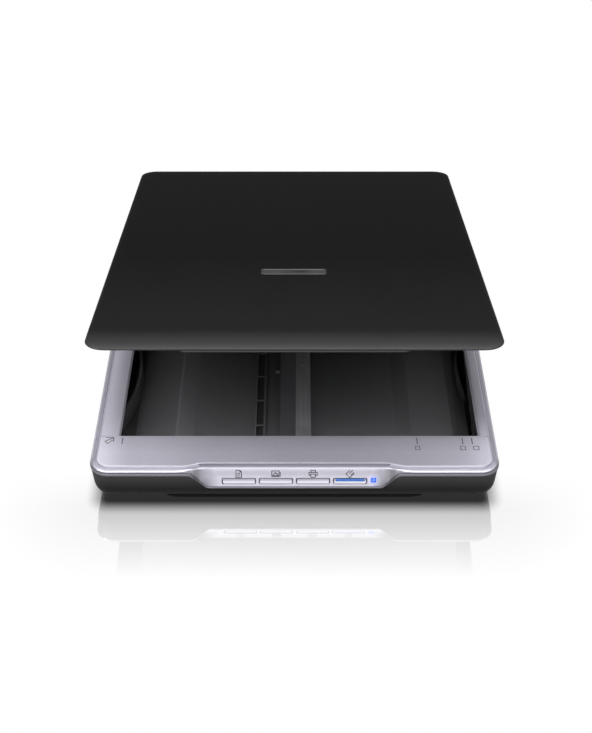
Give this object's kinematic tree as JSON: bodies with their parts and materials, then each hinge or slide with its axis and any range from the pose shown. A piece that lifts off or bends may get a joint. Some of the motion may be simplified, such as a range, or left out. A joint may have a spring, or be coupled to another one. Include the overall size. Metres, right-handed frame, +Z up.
{
  "type": "flatbed scanner",
  "caption": "Slim flatbed document scanner with hinged lid, glass bed, front push buttons and a sensor carriage that runs under the glass.",
  "frame": {"origin": "centre of the base's footprint, on the table", "axes": "+X to the right, +Y to the rear, +Z up"},
  "size_m": [0.2514, 0.366, 0.1128],
  "materials": {
    "black_case": "fine matt moulded plastic",
    "black_lid": "fine matt textured plastic",
    "silver": "silver lavender satin paint",
    "silver_button": "silver lavender satin paint",
    "glass": "clear float glass",
    "tape": "black double sided tape",
    "white_sheet": "matt white sheet",
    "rail_steel": "brushed along its length",
    "rack_plastic": "grey moulded plastic",
    "screw_steel": "zinc plated",
    "screw_black": "black zinc",
    "board": "green solder mask",
    "chip": "black epoxy",
    "port_metal": "nickel plated shell",
    "switch_metal": "stamped metal",
    "lens_blue": "lit blue lens",
    "ribbon": "white film ribbon",
    "foot_rubber": "matt black rubber",
    "pin_steel": "ground steel",
    "foam": "soft open cell foam",
    "badge": "bright silver plate",
    "stripe_blue": "blue printed insert",
    "gear_plastic": "natural acetal",
    "motor_metal": "plated can",
    "spring_steel": "spring wire",
    "sensor_black": "black glass filled plastic",
    "lens_clear": "rod lens row",
    "guide_clear": "clear acrylic light guide",
    "brass": "turned brass"
  },
  "bodies": {
    "base": {"lower_case": "black_case", "side_frame": "silver", "front_cover": "silver", "scan_glass": "glass", "glass_tape": "tape", "calibration_strip": "white_sheet", "guide_rail": "rail_steel", "drive_rack": "rack_plastic", "track_screws": "screw_steel", "main_board": "board", "board_chips": "chip", "usb_port": "port_metal", "board_screws": "screw_steel", "button_board": "board", "tact_switches": "switch_metal", "led_lens": "lens_blue", "panel_cable": "ribbon", "sensor_cable": "ribbon", "rubber_feet": "foot_rubber", "case_screws": "screw_black"},
    "hinge_lift": {"hinge_posts": "black_case", "hinge_pins": "pin_steel"},
    "lid": {"lid_cover": "black_lid", "lid_inner_plate": "black_case", "lid_foam": "foam", "document_mat": "white_sheet", "hinge_leaves": "black_case", "lid_screws": "screw_black", "lid_bumpers": "foot_rubber", "lid_badge": "badge"},
    "document_key": {"button_document": "silver_button"},
    "picture_key": {"button_picture": "silver_button"},
    "printer_key": {"button_printer": "silver_button"},
    "start_key": {"button_start": "silver_button", "start_stripe": "stripe_blue"},
    "carriage": {"carriage_frame": "black_case", "rail_shoes": "gear_plastic", "drive_motor": "motor_metal", "motor_screws": "screw_steel", "gear_axles": "pin_steel", "axle_clips": "pin_steel", "sensor_springs": "spring_steel"},
    "sensor": {"sensor_housing": "sensor_black", "rod_lens_array": "lens_clear", "light_guide": "guide_clear", "sensor_cover_glass": "glass", "sensor_board": "board", "glide_pads": "gear_plastic"},
    "pinion": {"motor_shaft": "pin_steel", "motor_pinion": "brass"},
    "compound": {"compound_gear": "gear_plastic"},
    "drive": {"drive_gear": "gear_plastic"}
  },
  "joints": [
    {"name": "lid_lift", "type": "slide", "parent": "base", "child": "hinge_lift", "axis": [0, 0, 1], "range_m": [0, 0.016]},
    {"name": "lid_hinge", "type": "hinge", "parent": "hinge_lift", "child": "lid", "pos_m": [0, 0.1765, 0.0345], "axis": [-1, 0, 0], "range_deg": [-12.27, 97.6]},
    {"name": "document_press", "type": "slide", "parent": "base", "child": "document_key", "axis": [0, 0.9397, -0.342], "range_m": [0, 0.0005]},
    {"name": "picture_press", "type": "slide", "parent": "base", "child": "picture_key", "axis": [0, 0.9397, -0.342], "range_m": [0, 0.0005]},
    {"name": "printer_press", "type": "slide", "parent": "base", "child": "printer_key", "axis": [0, 0.9397, -0.342], "range_m": [0, 0.0005]},
    {"name": "start_press", "type": "slide", "parent": "base", "child": "start_key", "axis": [0, 0.9397, -0.342], "range_m": [0, 0.0005]},
    {"name": "carriage_travel", "type": "slide", "parent": "base", "child": "carriage", "axis": [0, -1, 0], "range_m": [0, 0.303]},
    {"name": "sensor_float", "type": "slide", "parent": "carriage", "child": "sensor", "axis": [0, 0, 1], "range_m": [-0.0006, 0], "stiffness_N_per_m": 400, "springref_m": 0.002, "deforming": ["sensor_springs"]},
    {"name": "drive_spin", "type": "hinge", "parent": "carriage", "child": "drive", "pos_m": [-0.0154, 0.156, 0.008], "axis": [0, 0, 1], "range_deg": [0, 2715]},
    {"name": "compound_spin", "type": "hinge", "parent": "carriage", "child": "compound", "pos_m": [-0.0298, 0.156, 0.013], "axis": [0, 0, 1], "range_deg": [-6590, 0]},
    {"name": "pinion_spin", "type": "hinge", "parent": "carriage", "child": "pinion", "pos_m": [-0.0423, 0.156, 0.013], "axis": [0, 0, 1], "range_deg": [0, 16942]}
  ],
  "couplings": [
    {"joint": "drive_spin", "follows": "carriage_travel", "rad_per_m": 156.25},
    {"joint": "compound_spin", "follows": "carriage_travel", "rad_per_m": -379.46},
    {"joint": "pinion_spin", "follows": "carriage_travel", "rad_per_m": 975.77}
  ]
}
